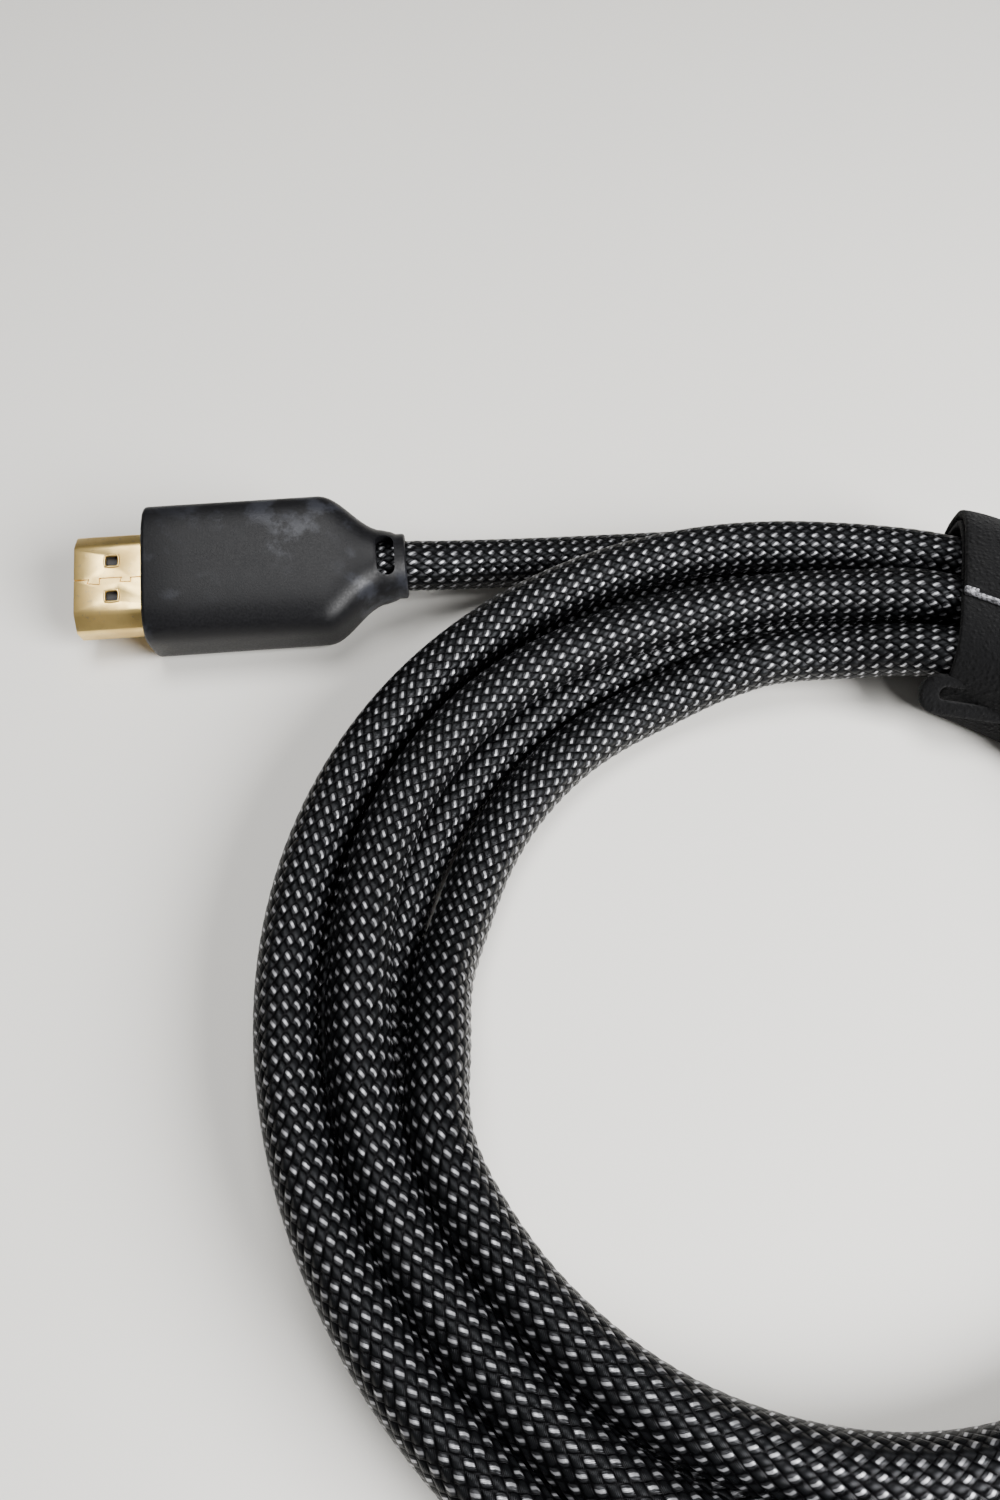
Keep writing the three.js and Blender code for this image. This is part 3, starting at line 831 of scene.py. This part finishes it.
class CordSettings(bpy.types.PropertyGroup):
    diameter: FloatProperty(
        name="Diameter", description="Across the braided jacket", default=6.7 * MM, unit="LENGTH")
    length: FloatProperty(
        name="Length", description="Jacket between the two collars", default=1.84, unit="LENGTH")
    yarns: IntProperty(
        name="Yarns around", description="Silver yarns side by side round the jacket", default=16)
    cell_length: FloatProperty(
        name="Crossing pitch", description="From one crossing of the braid to the next, lengthways",
        default=1.8 * MM, unit="LENGTH")
    relief: FloatProperty(
        name="Relief", description="How far the floats stand above the middle of the jacket",
        default=0.1 * MM, unit="LENGTH")
    drift: FloatProperty(
        name="Drift", description="Slow twist of the braid along the cord, radians per metre",
        default=1.3)
    strap_lift: FloatProperty(
        name="Lift at the strap", description="How far the strap under the coil lifts it",
        default=0.8 * MM, unit="LENGTH")


class ShellSettings(bpy.types.PropertyGroup):
    width: FloatProperty(name="Width", description="Across the shell", default=13.9 * MM, unit="LENGTH")
    height: FloatProperty(
        name="Height", description="Thickness of the shell", default=4.45 * MM, unit="LENGTH")
    narrow_width: FloatProperty(
        name="Narrow face", description="Width of the face between the slopes",
        default=9.6 * MM, unit="LENGTH")
    bevel_height: FloatProperty(
        name="Slope height", description="How far down the slopes reach",
        default=1.5 * MM, unit="LENGTH")
    wall: FloatProperty(
        name="Wall", description="Thickness of the metal", default=0.4 * MM, unit="LENGTH")
    exposed: FloatProperty(
        name="Exposed length", description="How far the shell stands out",
        default=9.6 * MM, unit="LENGTH")
    seated: FloatProperty(
        name="Seated length", description="How far it reaches into the housing",
        default=3 * MM, unit="LENGTH")
    latch_length: FloatProperty(
        name="Latch hole length", description="Along the plug", default=1.6 * MM, unit="LENGTH")
    latch_width: FloatProperty(
        name="Latch hole width", description="Across the plug", default=1.4 * MM, unit="LENGTH")
    latch_spacing: FloatProperty(
        name="Latch hole spacing", description="Between the middles of the holes",
        default=5 * MM, unit="LENGTH")
    latch_from_tip: FloatProperty(
        name="Latch holes from the tip", description="To the middles of the holes",
        default=5 * MM, unit="LENGTH")


class HousingSettings(bpy.types.PropertyGroup):
    width: FloatProperty(
        name="Width", description="Across the housing", default=19.6 * MM, unit="LENGTH")
    thickness: FloatProperty(
        name="Thickness", description="From the upper to the lower face",
        default=11.4 * MM, unit="LENGTH")
    body_length: FloatProperty(
        name="Body length", description="The straight part", default=23.4 * MM, unit="LENGTH")
    collar_length: FloatProperty(
        name="Collar length", description="The strain relief at the cord",
        default=3 * MM, unit="LENGTH")
    collar_root: FloatProperty(
        name="Collar root", description="Diameter where the collar starts",
        default=10 * MM, unit="LENGTH")
    collar_end: FloatProperty(
        name="Collar end", description="Diameter at the cord", default=8.5 * MM, unit="LENGTH")
    front_edge: FloatProperty(
        name="Front edge", description="Rounding of the front edge", default=0.6 * MM, unit="LENGTH")
    window_length: FloatProperty(
        name="Window length", description="Along the collar", default=2.4 * MM, unit="LENGTH")
    window_width: FloatProperty(
        name="Window width", description="Across the collar", default=5.6 * MM, unit="LENGTH")
    window_from_end: FloatProperty(
        name="Window from the end", description="From the collar's end to its window", default=1.5 * MM,
        unit="LENGTH")
    sides: IntProperty(name="Sides", description="Faces round the housing", default=96)


class StrapSettings(bpy.types.PropertyGroup):
    width: FloatProperty(name="Width", description="Along the cord", default=16 * MM, unit="LENGTH")
    thickness: FloatProperty(
        name="Thickness", description="Of one layer", default=1.0 * MM, unit="LENGTH")
    skew: FloatProperty(
        name="Skew", description="How far it lies off square across the bundle", default=0.18)
    head_width: FloatProperty(
        name="Head width", description="Of the slotted end", default=12.4 * MM, unit="LENGTH")
    head_radius: FloatProperty(
        name="Head place", description="From the coil's centre", default=41.9 * MM, unit="LENGTH")
    head_angle: FloatProperty(
        name="Head angle", description="Round the coil's centre, degrees", default=60.5)


class StageSettings(bpy.types.PropertyGroup):
    lens: FloatProperty(
        name="Lens", description="Focal length on a sensor 24 mm high",
        default=17.92, subtype="DISTANCE_CAMERA")
    tilt: FloatProperty(
        name="Camera tilt", description="Angle of the camera above straight down",
        default=math.radians(33), subtype="ANGLE")
    camera_place: FloatVectorProperty(
        name="Camera place", description="From the coil's centre", default=(-0.0384, -0.0457, 0.122),
        subtype="TRANSLATION", unit="LENGTH")
    floor_colour: FloatVectorProperty(
        name="Floor colour", description="Plain pale table",
        default=(0.82, 0.80, 0.755), subtype="COLOR", min=0.0, max=1.0)


# Operators

FLOOR_HEIGHT = -0.2 * MM
# Each soft light: its name, energy in watts, size and place in metres
LIGHTS = (
    ("side_light", 7.2, 0.32, (0.30, -0.20, 0.28)),
    ("top_light", 5.0, 0.46, (-0.10, 0.14, 0.72)),
    ("fill_light", 0.25, 0.60, (-0.35, -0.45, 0.60)),
)
ROOM_COLOUR = (1.0, 0.985, 0.95, 1.0)
ROOM_STRENGTH = 0.11


class CABLE_OT_stage(bpy.types.Operator):
    """Adds the camera at the photograph's angle, the plain floor and the soft lights"""

    bl_idname = "cable.add_stage"
    bl_label = "Add camera, floor and lights"

    def execute(self, context):
        stage = context.scene.cable_stage
        bpy.ops.object.camera_add(
            location=COIL_CENTRE + Vector(stage.camera_place), rotation=(stage.tilt, 0.0, 0.0))
        camera = context.object
        camera.name = "camera"
        camera.data.sensor_fit = "VERTICAL"
        camera.data.sensor_height = 24.0
        camera.data.lens = stage.lens
        camera.data.clip_start = 0.002
        context.scene.camera = camera

        bpy.ops.mesh.primitive_plane_add(size=6.0, location=(0, 0, FLOOR_HEIGHT))
        floor = context.object
        floor.name = "floor"
        floor.data.materials.append(floor_material(stage))

        for name, energy, size, place in LIGHTS:
            bpy.ops.object.light_add(type="AREA", location=place)
            light = context.object
            light.name = name
            light.data.shape = "DISK"
            light.data.size = size
            light.data.energy = energy
            light.rotation_euler = (COIL_CENTRE - Vector(place)).to_track_quat("-Z", "Y").to_euler()
        world = bpy.data.worlds.new("studio")
        world.use_nodes = True
        background = world.node_tree.nodes["Background"]
        background.inputs["Color"].default_value = ROOM_COLOUR
        background.inputs["Strength"].default_value = ROOM_STRENGTH
        context.scene.world = world
        return {"FINISHED"}


def floor_material(stage):
    n = Nodes("floor")
    tone = n.noise(n.coordinates(), 6.0, 3.0)
    # Patches of a slightly darker tone at random.
    dimmer_tone = [c * 0.97 for c in stage.floor_colour]
    colour = n.mix(n.span(tone, 0.3, 0.7), (*dimmer_tone, 1), (*stage.floor_colour, 1))
    return n.finish(colour, 0.6, n.bump(n.noise(n.coordinates(), 900.0), 0.02 * MM, 0.3))


class CABLE_OT_cord(bpy.types.Operator):
    """Adds the braided cord from collar to collar, wound five times round the coil"""

    bl_idname = "cable.add_cord"
    bl_label = "Add cord"

    def execute(self, context):
        cord = context.scene.cable_cord
        path = cord_route(cord)
        piece = braided_tube("cord", path, cord)
        place_piece(piece, braid_material(), "braid", "cord_near_lead", "cord_coil", "cord_far_lead")
        return {"FINISHED"}


class CABLE_OT_shells(bpy.types.Operator):
    """Adds the stamped metal shell of each plug"""

    bl_idname = "cable.add_shells"
    bl_label = "Add plug shells"

    def execute(self, context):
        pattern = shell_piece(context.scene.cable_shell)
        gold = gold_material()
        for plug in PLUG_PLACES:
            shell = add_copy(pattern, plug + "_stamped_shell", plug_matrix(plug))
            place_piece(shell, gold, "plated_metal", plug + "_shell")
        bpy.data.objects.remove(pattern, do_unlink=True)
        return {"FINISHED"}


class CABLE_OT_contacts(bpy.types.Operator):
    """Finishes the linings and contact rows that the frame already has"""

    bl_idname = "cable.finish_contacts"
    bl_label = "Finish linings and contacts"

    def execute(self, context):
        finishes = {"contact_lining": lining_material(), "upper_contacts": gold_material()}
        finishes["lower_contacts"] = finishes["upper_contacts"]
        for plug in PLUG_PLACES:
            for part, material in finishes.items():
                node = frame["nodes"][f"{plug}_{part}"]
                for slot in node.material_slots:
                    slot.material = material
        return {"FINISHED"}


class CABLE_OT_housings(bpy.types.Operator):
    """Adds the moulded housing of each plug with its collar"""

    bl_idname = "cable.add_housings"
    bl_label = "Add plug housings"

    def execute(self, context):
        scene = context.scene
        pattern = housing_piece(scene.cable_housing, scene.cable_shell)
        plastic = housing_material()
        for plug in PLUG_PLACES:
            housing = add_copy(pattern, plug + "_moulded_housing", plug_matrix(plug))
            place_piece(housing, plastic, "housing_plastic", plug + "_housing")
        bpy.data.objects.remove(pattern, do_unlink=True)
        return {"FINISHED"}


class CABLE_OT_strap(bpy.types.Operator):
    """Adds the hook-and-loop strap round the coil, with its slotted head"""

    bl_idname = "cable.add_strap"
    bl_label = "Add strap"

    def execute(self, context):
        strap = context.scene.cable_strap
        band, line = strap_band(strap)
        head = strap_head(strap)
        join_pieces(band, head)
        smooth(band, 50)
        place_piece(band, strap_material(), "strap_cloth", "strap")
        paint_cut_edge(band, line[-1])
        return {"FINISHED"}


def paint_cut_edge(band, end):
    """Gives the faces at the strip's free end the finish of a cut edge."""
    band.data.materials.append(hook_edge_material())
    outward = strap_direction()
    for face in band.data.polygons:
        reach = (face.center - COIL_CENTRE).dot(outward)
        if abs(reach - end[0]) < 0.35 * MM and face.center.z > end[2] - 0.45 * MM:
            face.material_index = 1


# Panel and registration


class CABLE_PT_panel(bpy.types.Panel):
    """Lists the cable's sizes and the buttons that build it"""

    bl_label = "Braided cable"
    bl_idname = "CABLE_PT_panel"
    bl_space_type = "VIEW_3D"
    bl_region_type = "UI"
    bl_category = "Cable"

    def draw(self, context):
        for settings in SETTINGS:
            box = self.layout.box()
            group = getattr(context.scene, settings)
            for name in group.bl_rna.properties.keys():
                if name not in {"rna_type", "name"}:
                    box.prop(group, name)
        for operator in OPERATORS:
            self.layout.operator(operator.bl_idname)


SETTINGS = {
    "cable_stage": StageSettings, "cable_cord": CordSettings, "cable_shell": ShellSettings,
    "cable_housing": HousingSettings, "cable_strap": StrapSettings,
}
OPERATORS = (
    CABLE_OT_stage, CABLE_OT_shells, CABLE_OT_contacts, CABLE_OT_housings, CABLE_OT_cord, CABLE_OT_strap,
)


def register():
    for kind in (*SETTINGS.values(), *OPERATORS, CABLE_PT_panel):
        bpy.utils.register_class(kind)
    for name, kind in SETTINGS.items():
        setattr(bpy.types.Scene, name, PointerProperty(type=kind))


def unregister():
    for name in SETTINGS:
        delattr(bpy.types.Scene, name)
    for kind in reversed((*SETTINGS.values(), *OPERATORS, CABLE_PT_panel)):
        bpy.utils.unregister_class(kind)


def main():
    register()
    bpy.ops.cable.add_stage()
    bpy.ops.cable.add_shells()
    bpy.ops.cable.finish_contacts()
    bpy.ops.cable.add_housings()
    bpy.ops.cable.add_cord()
    bpy.ops.cable.add_strap()


if __name__ == "__main__":
    main()
